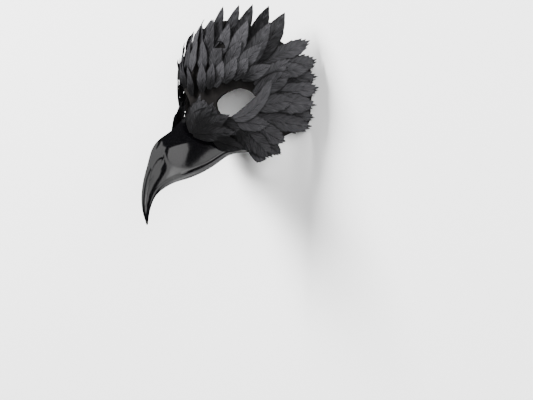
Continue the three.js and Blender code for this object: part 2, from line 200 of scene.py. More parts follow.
def head_form(shrink, name):
    bpy.ops.object.select_all(action="DESELECT")
    bpy.ops.mesh.primitive_uv_sphere_add(
        segments=HEAD_SEGMENTS, ring_count=HEAD_RINGS, radius=1)
    form = bpy.context.object
    form.name = name
    bpy.ops.object.mode_set(mode="EDIT")
    bm = bmesh.from_edit_mesh(form.data)
    for above, height in ((True, HEAD_UP), (False, HEAD_DOWN)):
        select_where(bm, lambda co, above=above: (co.y > 0) == above)
        bmesh.update_edit_mesh(form.data)
        size = (1, (height - shrink) * MM, 1)
        bpy.ops.transform.resize(value=size, center_override=(0, 0, 0))
    bpy.ops.mesh.select_all(action="SELECT")
    size = ((HEAD_HALF_WIDTH - shrink) * MM, 1, (HEAD_HALF_DEPTH - shrink) * MM)
    bpy.ops.transform.resize(value=size, center_override=(0, 0, 0))
    bpy.ops.transform.translate(value=face(*HEAD_CENTRE))
    finish_edit(form)
    return form


def slab_beyond(point, outward):
    bpy.ops.object.select_all(action="DESELECT")
    middle = point + outward * CUTTER_REACH
    bpy.ops.mesh.primitive_cube_add(size=2 * CUTTER_REACH, location=middle)
    slab = bpy.context.object
    slab.rotation_mode = "QUATERNION"
    slab.rotation_quaternion = outward.to_track_quat("Z", "Y")
    return slab


def prism(base, along, name):
    mesh = bpy.data.meshes.new(name)
    mesh.from_pydata(base, [], [list(range(len(base)))])
    post = bpy.data.objects.new(name, mesh)
    bpy.context.scene.collection.objects.link(post)
    pick(post)
    bpy.ops.object.mode_set(mode="EDIT")
    bpy.ops.mesh.select_all(action="SELECT")
    bpy.ops.mesh.extrude_region_move(TRANSFORM_OT_translate={"value": along})
    bpy.ops.mesh.select_all(action="SELECT")
    bpy.ops.mesh.normals_make_consistent(inside=False)
    finish_edit(post)
    return post


def column(outline, name):
    base = [face(x, y, CUTTER_START) for x, y in outline]
    return prism(base, (0, 0, CUTTER_REACH), name)


def eye_outline(side):
    tilt = math.radians(EYE["tilt"])
    halves = (EYE["half_width"], EYE["half_height"])
    outline = []
    for k in range(EYE["sides"]):
        angle = 2 * math.pi * k / EYE["sides"]
        x, y = (
            math.copysign(abs(value) ** (2 / EYE["power"]), value) * half
            for value, half in zip((math.cos(angle), math.sin(angle)), halves)
        )
        across = EYE["x"] + x * math.cos(tilt) - y * math.sin(tilt)
        outline.append((side * across, EYE["y"] + x * math.sin(tilt) + y * math.cos(tilt)))
    return outline


shell = head_form(0, "moulded_shell")
cut_away(shell, head_form(SHELL_WALL, "inside"))
cut_away(shell, slab_beyond(Vector((0, 0, 0)), Vector((0, 0, -1))))
crown_out = Vector((0, 1, -CROWN_EDGE["slope"])).normalized()
cut_away(shell, slab_beyond(face(0, CROWN_EDGE["y"], CROWN_EDGE["z"]), crown_out))
cheek_out = Vector((0, -1, -CHEEK_EDGE["slope"])).normalized()
cut_away(shell, slab_beyond(face(0, CHEEK_EDGE["y"], 0), cheek_out))
for side in (1, -1):
    cut_away(shell, column(eye_outline(side), "eye_cutter"))
nose_outline = [(-x, y) for x, y in NOSE_OPENING] + NOSE_OPENING[::-1]
cut_away(shell, column(nose_outline, "nose_cutter"))
bpy.ops.object.shade_smooth_by_angle(angle=SHELL_CREASE)

moulded = bpy.data.materials.new("moulded_plastic")
moulded.use_nodes = True
nodes, links = moulded.node_tree.nodes, moulded.node_tree.links
shader = nodes["Principled BSDF"]
shader.inputs["Specular IOR Level"].default_value = 0.05
place = nodes.new("ShaderNodeTexCoord")
grain = nodes.new("ShaderNodeTexNoise")
grain.inputs["Scale"].default_value = 1400
grain.inputs["Detail"].default_value = 3
patch = nodes.new("ShaderNodeTexNoise")
patch.inputs["Scale"].default_value = 60
patch.inputs["Detail"].default_value = 5
tint = nodes.new("ShaderNodeValToRGB")
tint.color_ramp.elements[0].position = 0.3
tint.color_ramp.elements[0].color = (0.0036, 0.0034, 0.0034, 1)
tint.color_ramp.elements[1].position = 0.75
tint.color_ramp.elements[1].color = (0.0115, 0.0106, 0.0102, 1)
gloss = nodes.new("ShaderNodeMapRange")
gloss.inputs["To Min"].default_value = 0.7
gloss.inputs["To Max"].default_value = 0.85
bump = nodes.new("ShaderNodeBump")
bump.inputs["Strength"].default_value = 0.35
bump.inputs["Distance"].default_value = 0.0002
for texture in (grain, patch):
    links.new(place.outputs["Object"], texture.inputs["Vector"])
links.new(patch.outputs["Fac"], tint.inputs["Fac"])
links.new(tint.outputs["Color"], shader.inputs["Base Color"])
links.new(patch.outputs["Fac"], gloss.inputs["Value"])
links.new(gloss.outputs["Result"], shader.inputs["Roughness"])
links.new(grain.outputs["Fac"], bump.inputs["Height"])
links.new(bump.outputs["Normal"], shader.inputs["Normal"])
shell.data.materials.clear()
shell.data.materials.append(moulded)
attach(shell, "root")
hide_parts("mask_shell")

# The bill: a long hooked beak of polished black plastic, moulded hollow and open underneath, with
# rolled lips, a crease over each, a slim nostril and shallow waves in both flanks. It is glued to
# the shell over the nose opening.
CULMEN = [
    (3, 104), (-9, 118), (-24, 136), (-34, 151), (-42, 168), (-52, 178),
    (-68, 184), (-86, 191), (-104, 194), (-120, 192.5), (-135, 186),
]
CUTTING_EDGE = [
    (42, -57, 82), (36, -59.7, 94.9), (28.5, -73.1, 114.1), (20.2, -84, 137.4),
    (12.9, -90.1, 159.6), (7.6, -101.1, 177.1), (5.1, -113, 183), (3.2, -124, 185),
    (1.2, -135, 185.2),
]
BILL_ROWS, BILL_COLUMNS = 220, 128
SMOOTHING = 106
BILL_WALL, HOLLOW_END, THINNEST = 2.6, 0.84, 0.4
BILL_GAP, BILL_CREASE = 0.38, math.radians(40)
ROOT_RUN = 26.0
ROOT_FULLNESS, BODY_FULLNESS = 1.47, 1.065
ROOT_FLARE, BODY_FLARE = 1.93, 1.24
FULL_FROM = 0.503
LIP = {"from": 0.889, "to": 0.912, "flare": 1.5, "fade": 12.0, "until": 0.85, "dying": 0.55}
CREASE = {
    "at": 0.891, "half_width": 0.01, "depth": 1.2, "from": 0.06, "grow": 0.08, "to": 0.43,
    "fade": 0.1,
}
NOSTRIL = {
    "share": 0.565, "arc": 0.515, "half_run": 0.088, "half_width": 0.1, "wall": 0.3, "depth": 1.1,
}
POCKET_MOST, HOLLOW_MOST = 0.4, 0.36
LEAST_ROOM, LEAST_NORMAL = 1e-3, 1e-9
HOLLOW_SHARES, HOLLOW_SHARE_SPAN = (0.1, 0.22, 0.34, 0.46, 0.58, 0.7, 0.84), 0.09
HOLLOW_ARCS, HOLLOW_ARC_SPAN = (0.2, 0.42, 0.64, 0.86), 0.16
HOLLOWS = [
    (0, 0, 1.0, 0.1), (0.9, 0.6, 0.8, 0), (0, 0.1, 1.1, 0.2), (1.8, -1.0, 0.1, 0.8),
    (0.2, 1.1, 1.2, 0.6), (1.1, 1.3, 0.9, 0.6), (0.9, 1.0, 1.0, 0.7),
]


def smooth_curve(points, share):
    points = np.array(points, float)
    points = np.vstack([2 * points[0] - points[1], points, 2 * points[-1] - points[-2]])
    place = share * (len(points) - 3)
    k = np.clip(place.astype(int), 0, len(points) - 4)
    t = (place - k)[:, None]
    p = [points[k + n] for n in range(4)]
    gap = [np.linalg.norm(p[n + 1] - p[n], axis=1)[:, None] ** 0.5 for n in range(3)]
    start = (p[1] - p[0]) / gap[0] - (p[2] - p[0]) / (gap[0] + gap[1]) + (p[2] - p[1]) / gap[1]
    end = (p[2] - p[1]) / gap[1] - (p[3] - p[1]) / (gap[1] + gap[2]) + (p[3] - p[2]) / gap[2]
    start, end = start * gap[1], end * gap[1]
    cube = 2 * p[1] - 2 * p[2] + start + end
    square = 3 * p[2] - 3 * p[1] - 2 * start - end
    return ((cube * t + square) * t + start) * t + p[1]


def ease(value):
    value = np.clip(value, 0, 1)
    return value * value * (3 - 2 * value)


def bill_form(share, arc, inset):
    top = smooth_curve([(0, y, z) for y, z in CULMEN], share)
    edge = smooth_curve(CUTTING_EDGE, share)
    fall = edge * [0, 1, 1] - top
    depth = np.linalg.norm(fall, axis=1)[:, None]
    fall = fall / depth
    full = ease(share / FULL_FROM)[:, None]
    fullness = ROOT_FULLNESS + (BODY_FULLNESS - ROOT_FULLNESS) * full
    flare = ROOT_FLARE + (BODY_FLARE - ROOT_FLARE) * full
    quarter = np.abs(arc)[None, :] * math.pi / 2
    low = 1 - np.clip(np.cos(quarter), 0, 1) ** fullness
    wide = np.sin(quarter) ** flare * np.maximum(edge[:, :1] - inset, THINNEST)
    if inset == 0:
        rolled = ease((np.abs(arc) - LIP["from"]) / (LIP["to"] - LIP["from"]))
        dying = ease((LIP["until"] - share) / LIP["dying"])[:, None]
        wide = wide + LIP["flare"] * rolled * np.minimum(1, edge[:, :1] / LIP["fade"]) * dying
    sunk = inset + depth * low
    form = top[:, None, :] + fall[:, None, :] * sunk[:, :, None]
    form[:, :, 0] = wide * np.sign(arc)
    return form


def press(form, share, arc):
    normal = np.cross(np.gradient(form, axis=0), np.gradient(form, axis=1))
    normal /= np.linalg.norm(normal, axis=2)[:, :, None] + LEAST_NORMAL
    if normal[:, :, 2].mean() < 0:
        normal = -normal
    down, around = np.meshgrid(share, np.abs(arc), indexing="ij")
    half = np.abs(form[:, :, 0])
    run = (down - NOSTRIL["share"]) / NOSTRIL["half_run"]
    room = np.maximum(np.sqrt(np.clip(1 - run * run, 0, 1)), LEAST_ROOM)
    off = np.abs(around - NOSTRIL["arc"]) / (NOSTRIL["half_width"] * room)
    pocket = NOSTRIL["depth"] * ease((1 - off) / NOSTRIL["wall"]) * (np.abs(run) < 1)
    pocket = np.minimum(pocket, POCKET_MOST * half)
    groove = CREASE["depth"] * np.exp(-(((around - CREASE["at"]) / CREASE["half_width"]) ** 2))
    groove *= (ease((down - CREASE["from"]) / CREASE["grow"])
               * ease((CREASE["to"] - down) / CREASE["fade"]))
    hollow = sum(
        deep * np.exp(-(((down - share_at) / HOLLOW_SHARE_SPAN) ** 2)
                      - ((around - arc_at) / HOLLOW_ARC_SPAN) ** 2)
        for share_at, row in zip(HOLLOW_SHARES, HOLLOWS)
        for arc_at, deep in zip(HOLLOW_ARCS, row))
    hollow = np.minimum(hollow, HOLLOW_MOST * half)
    return form - normal * (pocket + groove + hollow)[:, :, None]


def bill_body(inset, end, name):
    share = np.linspace(0, end, BILL_ROWS + 1)
    arc = np.linspace(-1, 1, BILL_COLUMNS + 1)
    form = bill_form(share, arc, inset)
    for _ in range(SMOOTHING):
        form[1:-1] = (form[:-2] + 2 * form[1:-1] + form[2:]) / 4
    form = press(form, share, arc)
    root = form[:1] - [0, 0, ROOT_RUN + inset]
    form = np.concatenate([root, form])
    rows, columns = form.shape[:2]
    bpy.ops.object.select_all(action="DESELECT")
    bpy.ops.mesh.primitive_grid_add(x_subdivisions=columns - 1, y_subdivisions=rows - 1, size=1)
    body = bpy.context.object
    body.name = name
    places = (form + [0, FACE_RISE, 0]) * MM
    body.data.vertices.foreach_set("co", places.reshape(-1).astype(np.float32))
    bpy.ops.object.mode_set(mode="EDIT")
    bm = bmesh.from_edit_mesh(body.data)
    bm.verts.ensure_lookup_table()
    for row in range(rows - 1):
        a, b = row * columns, (row + 1) * columns
        bm.faces.new([bm.verts[k] for k in (a, a + columns - 1, b + columns - 1, b)])
    for row in (0, rows - 1):
        bm.faces.new([bm.verts[row * columns + k] for k in range(columns)])
    bmesh.update_edit_mesh(body.data)
    bpy.ops.mesh.select_all(action="SELECT")
    bpy.ops.mesh.normals_make_consistent(inside=False)
    finish_edit(body)
    return body


bill = bill_body(0, 1, "hooked_bill")
cut_away(bill, bill_body(BILL_WALL, HOLLOW_END, "hollow"))
cut_away(bill, head_form(-BILL_GAP, "head"))
bpy.ops.object.shade_smooth_by_angle(angle=BILL_CREASE)

polished = bpy.data.materials.new("polished_black")
polished.use_nodes = True
nodes, links = polished.node_tree.nodes, polished.node_tree.links
shader = nodes["Principled BSDF"]
shader.inputs["Base Color"].default_value = (0.0016, 0.0016, 0.002, 1)
place = nodes.new("ShaderNodeTexCoord")
handling = nodes.new("ShaderNodeTexNoise")
handling.inputs["Scale"].default_value = 45
handling.inputs["Detail"].default_value = 6
gloss = nodes.new("ShaderNodeMapRange")
gloss.inputs["From Min"].default_value = 0.3
gloss.inputs["From Max"].default_value = 0.7
gloss.inputs["To Min"].default_value = 0.05
gloss.inputs["To Max"].default_value = 0.1
ripple = nodes.new("ShaderNodeTexNoise")
ripple.inputs["Scale"].default_value = 120
ripple.inputs["Detail"].default_value = 2
bump = nodes.new("ShaderNodeBump")
bump.inputs["Strength"].default_value = 0.06
bump.inputs["Distance"].default_value = 0.0005
for texture in (handling, ripple):
    links.new(place.outputs["Object"], texture.inputs["Vector"])
links.new(handling.outputs["Fac"], gloss.inputs["Value"])
links.new(gloss.outputs["Result"], shader.inputs["Roughness"])
links.new(ripple.outputs["Fac"], bump.inputs["Height"])
links.new(bump.outputs["Normal"], shader.inputs["Normal"])
bill.data.materials.clear()
bill.data.materials.append(polished)
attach(bill, "root")
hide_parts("bill")

# The feather leaf: a leaf shape cut from a sheet of imitation leather, with a raised midrib and
# slanted barbs pressed into it, and a painted shadow line darkening its cut rim. It is shaped once,
# flat, and every feather is a copy of it.
LEAF_COLUMNS, LEAF_ROWS = 12, 56
ROOT_SHARE, WIDEST_AT, TIP_POWER = 0.32, 0.46, 1.8
NARROWEST, RIM_FROM = 0.004, 0.49
ROW_REACH = 0.4 / LEAF_ROWS
SHEET, SHEET_EDGE = 0.8, 0.6
UV_MM = 100.0
BARB_PITCH, BARB_SLANT, BARB_WOBBLE = 3.1, 1.7, 0.028
STRAND_PITCH, STRAND_LENGTH = 1.3, 6.0
STRAND_FLOOR, STRAND_SHARE, WAVE_SHARE = 0.28, 2.6, 0.22
BARB_RELIEF, RIB_RELIEF, GRAIN_RELIEF = 0.6, 1.4, 0.25
BARB_SHADE, CLOUD_SHADE = 0.6, 0.5
# The reach and strength of the painted shade laid into the gaps between leaves.
CREVICE_SHADE_REACH, CREVICE_SHADE_POWER = 0.0032, 1.7


def leaf_share(u):
    if u < WIDEST_AT:
        return ROOT_SHARE + (1 - ROOT_SHARE) * math.sin(u / WIDEST_AT * math.pi / 2)
    return max(1 - ((u - WIDEST_AT) / (1 - WIDEST_AT)) ** TIP_POWER, NARROWEST)


bpy.ops.object.select_all(action="DESELECT")
bpy.ops.mesh.primitive_grid_add(x_subdivisions=LEAF_COLUMNS, y_subdivisions=LEAF_ROWS, size=1)
leaf = bpy.context.object
leaf.name = "leaf"
bpy.ops.object.mode_set(mode="EDIT")
bpy.ops.transform.translate(value=(0, 0.5, 1))
bm = bmesh.from_edit_mesh(leaf.data)
for row in range(LEAF_ROWS + 1):
    height = row / LEAF_ROWS
    select_where(bm, lambda co, height=height: abs(co.y - height) < ROW_REACH)
    bmesh.update_edit_mesh(leaf.data)
    size = (leaf_share(height), 1, 1)
    bpy.ops.transform.resize(value=size, center_override=(0, height, 1))
bpy.ops.mesh.select_all(action="SELECT")
bpy.ops.mesh.extrude_region_move(TRANSFORM_OT_translate={"value": (0, 0, -1)})
bpy.ops.mesh.select_all(action="SELECT")
bpy.ops.mesh.normals_make_consistent(inside=False)
finish_edit(leaf)
leaf_points = np.zeros(len(leaf.data.vertices) * 3, np.float32)
leaf.data.vertices.foreach_get("co", leaf_points)
leaf_points = leaf_points.reshape(-1, 3).astype(float)
# The rim vertices. They are darkened further on as a painted shadow line under each leaf's edge.
shaded_rim = np.array([abs(x) > RIM_FROM * leaf_share(y) for x, y, z in leaf_points])

pressed = bpy.data.materials.new("pressed_leather")
pressed.use_nodes = True
nodes, links = pressed.node_tree.nodes, pressed.node_tree.links
shader = nodes["Principled BSDF"]
shader.inputs["Specular IOR Level"].default_value = 0.16


def formula(operation, first, second=None):
    step = nodes.new("ShaderNodeMath")
    step.operation = operation
    for socket, value in zip(step.inputs, (first, second)):
        if isinstance(value, (int, float)):
            socket.default_value = value
        elif value is not None:
            links.new(value, socket)
    return step.outputs[0]


sheet_map = nodes.new("ShaderNodeUVMap")
sheet_map.uv_map = "sheet"
parts = nodes.new("ShaderNodeSeparateXYZ")
links.new(sheet_map.outputs["UV"], parts.inputs["Vector"])
place = nodes.new("ShaderNodeTexCoord")
wander = nodes.new("ShaderNodeTexNoise")
wander.inputs["Scale"].default_value = 170
wander.inputs["Detail"].default_value = 3
grain = nodes.new("ShaderNodeTexNoise")
grain.inputs["Scale"].default_value = 1500
grain.inputs["Detail"].default_value = 4
cloud = nodes.new("ShaderNodeTexNoise")
cloud.inputs["Scale"].default_value = 55
cloud.inputs["Detail"].default_value = 4
for texture in (wander, grain, cloud):
    links.new(place.outputs["Object"], texture.inputs["Vector"])
across = formula("ABSOLUTE", formula("SUBTRACT", parts.outputs["X"], 0.5))
slanted = formula("SUBTRACT", parts.outputs["Y"], formula("MULTIPLY", across, BARB_SLANT))
wobble = formula("MULTIPLY", formula("SUBTRACT", wander.outputs["Fac"], 0.5), BARB_WOBBLE)
barb_way = formula("ADD", slanted, wobble)
phase = formula("MULTIPLY", barb_way, 2 * math.pi * UV_MM / BARB_PITCH)
wave = formula("MULTIPLY", formula("ADD", formula("SINE", phase), 1), 0.5)
strand_way = nodes.new("ShaderNodeCombineXYZ")
links.new(formula("MULTIPLY", barb_way, UV_MM / STRAND_PITCH), strand_way.inputs["X"])
links.new(
    formula("MULTIPLY", parts.outputs["X"], UV_MM / STRAND_LENGTH), strand_way.inputs["Y"])
strand = nodes.new("ShaderNodeTexNoise")
strand.inputs["Scale"].default_value = 1.0
strand.inputs["Detail"].default_value = 4
links.new(strand_way.outputs["Vector"], strand.inputs["Vector"])
streak = formula("SUBTRACT", strand.outputs["Fac"], STRAND_FLOOR)
streak = formula("MULTIPLY", streak, STRAND_SHARE)
barb = formula("ADD", formula("MULTIPLY", wave, WAVE_SHARE), streak)
rib = nodes.new("ShaderNodeMapRange")
rib.inputs["From Min"].default_value = 0.0035
rib.inputs["From Max"].default_value = 0.0105
rib.inputs["To Min"].default_value = 1.0
rib.inputs["To Max"].default_value = 0.0
links.new(across, rib.inputs["Value"])
barb_height = formula("MULTIPLY", barb, BARB_RELIEF)
rib_height = formula("MULTIPLY", rib.outputs["Result"], RIB_RELIEF)
relief = formula("MAXIMUM", barb_height, rib_height)
relief = formula("ADD", relief, formula("MULTIPLY", grain.outputs["Fac"], GRAIN_RELIEF))
bump = nodes.new("ShaderNodeBump")
bump.inputs["Strength"].default_value = 1.0
bump.inputs["Distance"].default_value = 0.0012
links.new(relief, bump.inputs["Height"])
links.new(bump.outputs["Normal"], shader.inputs["Normal"])
clouding = formula("MULTIPLY", cloud.outputs["Fac"], CLOUD_SHADE)
shade = formula("ADD", formula("MULTIPLY", barb, BARB_SHADE), clouding)
# The tone attribute holds a random tone per feather together with painted shade: the row's offset,
# which is partly painted shade, a darker root and a dark rim line.
tone_and_shade = nodes.new("ShaderNodeAttribute")
tone_and_shade.attribute_name = "tone_and_shade"
shade = formula("ADD", shade, tone_and_shade.outputs["Fac"])
tint = nodes.new("ShaderNodeValToRGB")
tint.color_ramp.elements[0].position = 0.25
tint.color_ramp.elements[0].color = (0.0016, 0.0016, 0.0018, 1)
tint.color_ramp.elements[1].position = 1.0
tint.color_ramp.elements[1].color = (0.0365, 0.0359, 0.039, 1)
links.new(shade, tint.inputs["Fac"])
# Painted shade: the colour is darkened towards a near-black wherever occlusion finds leaves close
# by, in the gaps and under the edges where shadow falls.
crevice_shade = nodes.new("ShaderNodeAmbientOcclusion")
crevice_shade.samples = 8
crevice_shade.inputs["Distance"].default_value = CREVICE_SHADE_REACH
unshaded = formula("POWER", crevice_shade.outputs["AO"], CREVICE_SHADE_POWER)
painted_shade = nodes.new("ShaderNodeMix")
painted_shade.data_type = "RGBA"
painted_shade.inputs["A"].default_value = (0.0012, 0.0012, 0.0013, 1)
links.new(unshaded, painted_shade.inputs["Factor"])
links.new(tint.outputs["Color"], painted_shade.inputs["B"])
links.new(painted_shade.outputs["Result"], shader.inputs["Base Color"])
gloss = nodes.new("ShaderNodeMapRange")
gloss.inputs["To Min"].default_value = 0.62
gloss.inputs["To Max"].default_value = 0.44
links.new(shade, gloss.inputs["Value"])
links.new(gloss.outputs["Result"], shader.inputs["Roughness"])

# How a feather lies. Rings and clock angles, in degrees, are counted about the bridge of the
# nose; the leaf runs over the head form by its reach, lifted clear of the rows beneath it. Its
# edges are cut ragged and its free end is split.
CLEARANCE = 0.38
STEP = SHEET + CLEARANCE
RING_PER_STEP = 9.0
FUSED_STEP = 0.42
CURL, CURL_START, CURL_SPAN = 4.2, 8.0, 20.0
EDGE_LIFT = (1.5, 3.2)
LIFT_FROM, LIFT_GROW, LIFT_POWER = 0.25, 0.35, 1.3
# Painted shade on each feather: the first constant darkens it towards its root, where the rows
# above overlap it, and the second darkens its rim as a painted shadow line. TONE_SPREAD is a random
# tone per feather.
PAINTED_ROOT_SHADE, RIM_SHADE, TONE_SPREAD = 0.3, -0.6, 0.17
POLE = np.array([0, -0.38, 1]) / math.hypot(0.38, 1)
POLE_UP = np.array([0, 1, 0]) - POLE * POLE[1]
POLE_UP /= np.linalg.norm(POLE_UP)
POLE_LEFT = np.cross(POLE_UP, POLE)
TEETH, TEETH_SPREAD, TOOTH_DEPTH = 6.5, (0.8, 1.2), 0.16
TEETH_FROM, TEETH_GROW = 0.35, 0.25
EDGE_WAVE, EDGE_WAVES, EDGE_WAVE_START = 0.3, (7, 11), (0, 6)
SPLITS, SPLIT_DEPTH, SPLITS_FROM, SPLITS_GROW = 7.3, 0.1, 0.6, 0.4
NEAR_TIP = 0.995
LEAF_CREASE = math.radians(50)
rng = np.random.default_rng(7)


def head_radius(way):
    rise = np.where(way[..., 1] > 0, HEAD_UP, HEAD_DOWN)
    return 1 / np.sqrt((way[..., 0] / HEAD_HALF_WIDTH) ** 2 + (way[..., 1] / rise) ** 2
                       + (way[..., 2] / HEAD_HALF_DEPTH) ** 2)


def unit(vector):
    return vector / np.linalg.norm(vector)


def trimmed(ragged_by, blunt):
    u, across = leaf_points[:, 1], leaf_points[:, 0]
    edge = np.zeros(len(u))
    for half in (-1, 1):
        teeth = TEETH * rng.uniform(*TEETH_SPREAD)
        tooth = 1 - (u * teeth + rng.uniform(0, 1)) % 1
        wave = EDGE_WAVE * np.sin(u * rng.uniform(*EDGE_WAVES) + rng.uniform(*EDGE_WAVE_START))
        edge = np.where(np.sign(across) == half, tooth + wave, edge)
    bitten = ease((u - TEETH_FROM) / TEETH_GROW)
    across = across * (1 - TOOTH_DEPTH * ragged_by * edge * bitten)
    if blunt > TIP_POWER:
        beyond = np.clip((u - WIDEST_AT) / (1 - WIDEST_AT), 0, NEAR_TIP)
        across = across * (1 - beyond ** blunt) / (1 - beyond ** TIP_POWER)
        split = (across * SPLITS + rng.uniform(0, 1)) % 1
        u = u - SPLIT_DEPTH * ragged_by * ease((u - SPLITS_FROM) / SPLITS_GROW) * split
    return u, across


def sheet_height(across, low):
    crown = SHEET_EDGE + (SHEET - SHEET_EDGE) * (1 - np.abs(across) * 2)
    return low + (crown - low) * leaf_points[:, 2].reshape(across.shape)


def over_head(row, i, side):
    ring, clock, turn, reach, width = row["feathers"][i]
    odd = (i + row.get("parity", 0)) % 2
    rank = row["rank"] - (FUSED_STEP / STEP if row.get("fused") else 1) * odd
    ring, clock, turn = np.radians([ring, clock, turn])
    clock_way = POLE_UP * math.cos(clock) + POLE_LEFT * math.sin(clock)
    start = POLE * math.cos(ring) + clock_way * math.sin(ring)
    outward = unit(start * start.dot(POLE) - POLE)
    forward = outward * math.cos(turn) - np.cross(start, outward) * math.sin(turn)
    lateral = np.cross(forward, start)
    clocks = [feather[1] for feather in row["feathers"]]
    rings = [feather[0] for feather in row["feathers"]]
    u, across = trimmed(row.get("ragged", 1), row.get("blunt", TIP_POWER))
    sheet_across = across * width
    rise = sheet_height(across, SHEET - FUSED_STEP if row.get("fused") else 0)
    run = (u * reach / head_radius(start))[:, None]
    shift = ((sheet_across + row.get("bend", 0) * u * u) / head_radius(start))[:, None]
    way = (start * np.cos(run) + forward * np.sin(run)) * np.cos(shift) + lateral * np.sin(shift)
    way_ring = np.degrees(np.arccos(np.clip(way @ POLE, -1, 1)))
    way_clock = np.degrees(np.arctan2(way @ POLE_LEFT, way @ POLE_UP))
    row_ring = np.interp(way_clock, clocks, rings)
    past = np.maximum(0, (way_ring - row_ring - CURL_START) / CURL_SPAN)
    lift = CLEARANCE + STEP * np.maximum(0, way_ring / RING_PER_STEP - rank)
    lift = lift + CURL * row.get("curl", 1) * past ** 2
    free = EDGE_LIFT[odd] * row.get("curl", 1) * ease((u - LIFT_FROM) / LIFT_GROW)
    lift = lift + free * np.clip(2 * across * side, 0, 1) ** LIFT_POWER
    points = HEAD_CENTRE + way * (head_radius(way) + lift + rise)[:, None]
    return points * [side, 1, 1], sheet_across, u * reach


def make_feather(name, placed, side, row_tone_and_shade=0, painted_root_shade=PAINTED_ROOT_SHADE):
    points, sheet_across, sheet_along = placed
    feather = leaf.copy()
    feather.data = leaf.data.copy()
    feather.name = name
    bpy.context.scene.collection.objects.link(feather)
    mesh = feather.data
    places = (points + [0, FACE_RISE, 0]) * MM
    mesh.vertices.foreach_set("co", places.reshape(-1).astype(np.float32))
    corners = np.zeros(len(mesh.loops), int)
    mesh.loops.foreach_get("vertex_index", corners)
    while mesh.uv_layers:
        mesh.uv_layers.remove(mesh.uv_layers[0])
    flat = np.stack([0.5 + sheet_across / UV_MM, sheet_along / UV_MM], 1)[corners]
    sheet_uv = mesh.uv_layers.new(name="sheet")
    sheet_uv.data.foreach_set("uv", flat.reshape(-1).astype(np.float32))
    # Each vertex's tone: the row's offset, which is partly painted shade, a random tone per
    # feather, and painted shade darkening the root.
    tones_and_shades = row_tone_and_shade + rng.uniform(-TONE_SPREAD, TONE_SPREAD) + painted_root_shade * (leaf_points[:, 1] - 0.5)
    # Painted shadow line: the rim vertices are darkened.
    tones_and_shades = tones_and_shades + RIM_SHADE * shaded_rim
    vertex_tone = mesh.attributes.new("tone_and_shade", "FLOAT", "POINT")
    vertex_tone.data.foreach_set("value", tones_and_shades.astype(np.float32))
    mesh.materials.clear()
    mesh.materials.append(pressed)
    if side < 0:
        mesh.flip_normals()
    return feather


def join(feathers, name):
    bpy.ops.object.select_all(action="DESELECT")
    for feather in feathers:
        feather.select_set(True)
    bpy.context.view_layer.objects.active = feathers[0]
    bpy.ops.object.join()
    feathers[0].name = name
    return feathers[0]


def hand_in(piece, node):
    pick(piece)
    bpy.ops.object.shade_smooth_by_angle(angle=LEAF_CREASE)
    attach(piece, "root")
    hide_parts(node)


def lay_row(row):
    for side in ((1, -1) if row["side"] == 0 else (row["side"],)):
        tag = {1: "_left", -1: "_right"}[side] if row["side"] == 0 else ""
        made = []
        for i in range(len(row["feathers"])):
            name = f"leaf_{row['name']}{tag}_{i + 1}"
            # The row's tone offset is partly painted shade, and its root darkening is painted
            # shade.
            tones_and_shades = (row.get("tone_and_shade", 0), row.get("painted_root_shade", PAINTED_ROOT_SHADE))
            made.append(make_feather(name, over_head(row, i, side), side, *tones_and_shades))
        if row.get("fused"):
            hand_in(join(made, f"leaves_{row['name']}{tag}"), f"feathers_{row['name']}{tag}")
        else:
            for i, feather in enumerate(made):
                hand_in(feather, f"feather_{row['name']}{tag}_{i + 1}")


# The crown rows: the rear-most feathers over the forehead, standing higher on the left. Each
# feather is given as ring, clock, turn, reach and width, in degrees and millimetres.
# The crown feathers are toned darker as painted shade.
lay_row({
    "name": "crown_left", "side": 1, "rank": 5, "parity": 1, "tone_and_shade": -0.35, "ragged": 0.5,
    "feathers": [
        (47, 11, -23, 58.5, 17), (47, 21, -20, 61.5, 18), (49, 31, -22, 62, 19),
        (51, 43, -26, 66.5, 21), (57, 50, -23, 59, 22)]})
lay_row({"name": "crown_right", "side": -1, "rank": 5, "ragged": 0.5, "feathers": [
    (48, 10, -4, 40, 17), (50, 22, -4, 44, 18), (54, 35, -4, 49, 19), (60, 47, -4, 54, 20)]})

# The upper rows: the next feathers down, their tips over the roots of the crown rows.
lay_row({"name": "upper_left", "side": 1, "rank": 3, "ragged": 0.35, "tone_and_shade": -0.05, "feathers": [
    (40, -4, -18, 46, 15), (40, 8, -18, 48, 17), (42, 20, -15, 42, 17), (44, 34, -20, 50, 19),
    (45, 48, -21, 60, 22)]})
lay_row({"name": "upper_right", "side": -1, "rank": 3, "parity": 1, "ragged": 0.35, "feathers": [
    (39, 16, -6, 42, 17), (42, 28, -6, 42, 17), (44, 39, -8, 44, 18), (48, 49, -14, 52, 20)]})

# The forehead rows: shorter feathers between the brow and the upper rows.
lay_row({"name": "forehead_left", "side": 1, "rank": 1, "ragged": 0.35, "feathers": [
    (31, 8, -22, 37, 16), (33, 24, -22, 36, 18), (37, 34, -10, 38, 17), (42, 44, -4, 40, 18)]})
lay_row({"name": "forehead_right", "side": -1, "rank": 1, "parity": 1, "ragged": 0.35, "feathers": [
    (32, 13, -12, 35, 16), (34, 25, -10, 36, 17), (38, 37, -8, 38, 17), (43, 47, -6, 40, 18)]})

# The temple and side feathers: long ones laid back over both temples.
lay_row({"name": "temple", "side": 0, "rank": 5, "blunt": 3.8, "feathers": [
    (60, 52.4, 9.7, 60, 20), (60, 64, 12, 54, 22), (58, 70, 21, 52, 20), (54, 79, 18, 54, 20),
    (49, 95, 25, 54, 21)]})
lay_row({"name": "side", "side": 0, "rank": 3, "blunt": 3.8, "feathers": [
    (56, 57, 34, 51, 20), (44.1, 80.4, 28.3, 61, 24), (38.3, 97.1, 24.2, 65, 22)]})

